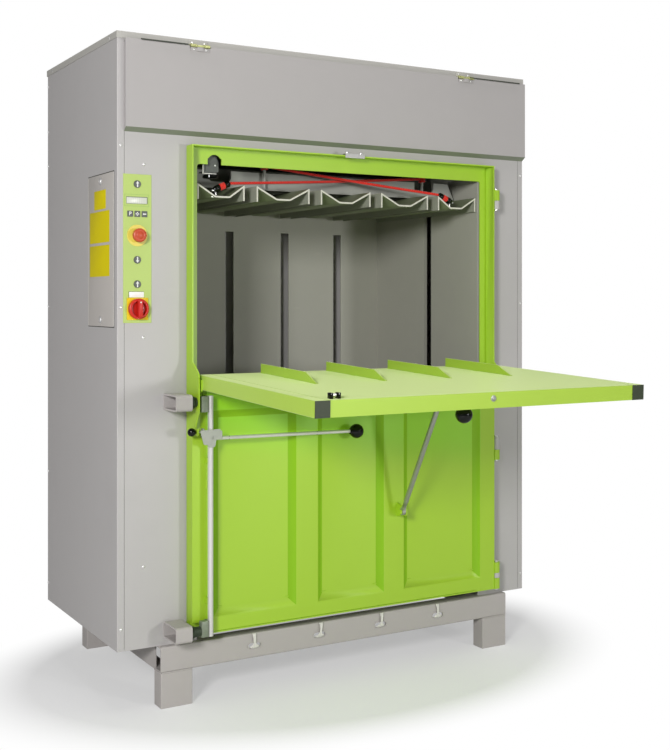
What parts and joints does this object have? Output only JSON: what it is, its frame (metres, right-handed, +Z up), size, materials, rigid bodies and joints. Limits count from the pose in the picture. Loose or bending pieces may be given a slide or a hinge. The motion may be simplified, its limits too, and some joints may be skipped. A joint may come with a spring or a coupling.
{
  "type": "cardboard baler",
  "caption": "Low-height cardboard baler with a full-height door, a fold-down loading flap, a swivel-bar lock and a corrugated press platen.",
  "frame": {"origin": "middle of the bounding box on the floor, with the loading flap folded open", "axes": "+Z up, -Y towards the operator and the door, +X to the operator's right"},
  "size_m": [1.5042, 1.4806, 1.981],
  "materials": {
    "green_paint": "satin",
    "grey_paint": "satin",
    "dark_paint": "satin",
    "cream_paint": "satin",
    "black_paint": "satin",
    "bare_steel": "satin",
    "bright_steel": "gloss",
    "black_plastic": "gloss",
    "white_plastic": "satin",
    "red_plastic": "gloss",
    "red_cord": "matte"
  },
  "bodies": {
    "casing": {"base_frame": "dark_paint", "feet": "dark_paint", "chamber_floor": "grey_paint", "chamber_side_walls": "grey_paint", "chamber_back_wall": "grey_paint", "service_deck": "grey_paint", "side_panels": "grey_paint", "front_panel": "grey_paint", "back_panel": "grey_paint", "lid": "dark_paint", "access_cover": "dark_paint", "hood_hinge_leaves": "bright_steel", "casing_hinge_lugs": "dark_paint", "lock_keepers": "dark_paint", "press_cylinders": "dark_paint", "oil_tank": "dark_paint", "pump_motor": "black_paint", "control_plate": "green_paint", "control_fittings": "grey_paint", "safety_switch": "bare_steel", "strap_tails": "white_plastic"},
    "door": {"door_frame": "green_paint", "door_back_plate": "green_paint", "door_panel": "green_paint", "strike_plate": "bare_steel", "door_hinge_lugs": "green_paint", "lock_saddles": "bare_steel", "strut_foot_bracket": "bare_steel"},
    "lock": {"lock_rod": "bare_steel", "lock_claws": "bare_steel", "lock_handle": "bare_steel", "lock_ball": "black_plastic"},
    "catch": {"lock_catch": "black_plastic"},
    "flap": {"flap_panel": "green_paint", "flap_tubes": "green_paint", "flap_outer_skin": "green_paint", "flap_fins": "green_paint", "flap_end_plugs": "black_plastic", "flap_switch_actuator": "bare_steel", "flap_pivot_lugs": "green_paint", "strut_head_bracket": "bare_steel"},
    "latch": {"latch_bolt": "bright_steel"},
    "strut_lower": {"strut_tube": "bare_steel"},
    "strut_upper": {"strut_rod": "bright_steel"},
    "platen": {"platen_channels": "cream_paint", "crosshead": "grey_paint", "yokes": "grey_paint", "piston_rods": "bright_steel", "cord_hooks": "bare_steel", "left_cord": "red_cord", "right_cord": "red_cord"},
    "hood": {"hood": "grey_paint"},
    "up_button": {"up_button": "black_plastic"},
    "down_button": {"down_button": "black_plastic"},
    "raise_button": {"raise_button": "black_plastic"},
    "program_key": {"program_key": "white_plastic"},
    "plus_key": {"plus_key": "white_plastic"},
    "minus_key": {"minus_key": "white_plastic"},
    "stop_button": {"stop_button": "red_plastic"},
    "main_switch": {"main_switch": "red_plastic"}
  },
  "joints": [
    {"name": "door_swing", "type": "hinge", "parent": "casing", "child": "door", "pos_m": [0.60185, -0.01266, 0.881], "axis": [0, 0, 1], "range_deg": [0, 110]},
    {"name": "flap_fold", "type": "hinge", "parent": "door", "child": "flap", "pos_m": [0.02785, -0.02666, 0.9375], "axis": [1, 0, 0], "range_deg": [-92, 0]},
    {"name": "flap_latch", "type": "slide", "parent": "flap", "child": "latch", "axis": [0, 0.9994, 0.0349], "range_m": [0, 0.014], "stiffness_N_per_m": 600},
    {"name": "strut_tilt", "type": "hinge", "parent": "door", "child": "strut_lower", "pos_m": [0.18185, -0.06466, 0.518], "axis": [1, 0, 0], "range_deg": [-32, 0]},
    {"name": "strut_slide", "type": "slide", "parent": "strut_lower", "child": "strut_upper", "axis": [0, -0.4883, 0.8727], "range_m": [0, 0.2254]},
    {"name": "lock_turn", "type": "hinge", "parent": "door", "child": "lock", "pos_m": [-0.48615, -0.04966, 0.581], "axis": [0, 0, 1], "range_deg": [-35, 0]},
    {"name": "catch_pull", "type": "slide", "parent": "door", "child": "catch", "axis": [-1, 0, 0], "range_m": [0, 0.012], "stiffness_N_per_m": 400},
    {"name": "press_stroke", "type": "slide", "parent": "casing", "child": "platen", "axis": [0, 0, -1], "range_m": [0, 0.79]},
    {"name": "hood_lift", "type": "hinge", "parent": "casing", "child": "hood", "pos_m": [0.00185, 0.00534, 1.958], "axis": [1, 0, 0], "range_deg": [-95, 0]},
    {"name": "up_button_press", "type": "slide", "parent": "casing", "child": "up_button", "axis": [0, 1, 0], "range_m": [0, 0.004], "stiffness_N_per_m": 400},
    {"name": "down_button_press", "type": "slide", "parent": "casing", "child": "down_button", "axis": [0, 1, 0], "range_m": [0, 0.004], "stiffness_N_per_m": 400},
    {"name": "raise_button_press", "type": "slide", "parent": "casing", "child": "raise_button", "axis": [0, 1, 0], "range_m": [0, 0.004], "stiffness_N_per_m": 400},
    {"name": "program_key_press", "type": "slide", "parent": "casing", "child": "program_key", "axis": [0, 1, 0], "range_m": [0, 0.001], "stiffness_N_per_m": 600},
    {"name": "plus_key_press", "type": "slide", "parent": "casing", "child": "plus_key", "axis": [0, 1, 0], "range_m": [0, 0.001], "stiffness_N_per_m": 600},
    {"name": "minus_key_press", "type": "slide", "parent": "casing", "child": "minus_key", "axis": [0, 1, 0], "range_m": [0, 0.001], "stiffness_N_per_m": 600},
    {"name": "stop_press", "type": "slide", "parent": "casing", "child": "stop_button", "axis": [0, 1, 0], "range_m": [0, 0.006], "stiffness_N_per_m": 800},
    {"name": "main_switch_turn", "type": "hinge", "parent": "casing", "child": "main_switch", "pos_m": [-0.68515, 0.02734, 1.175], "axis": [0, 1, 0], "range_deg": [0, 90]}
  ],
  "couplings": [
    {"joint": "strut_tilt", "follows": "flap_fold", "ratio": 0.34236},
    {"joint": "strut_slide", "follows": "flap_fold", "m_per_rad": -0.13976}
  ]
}
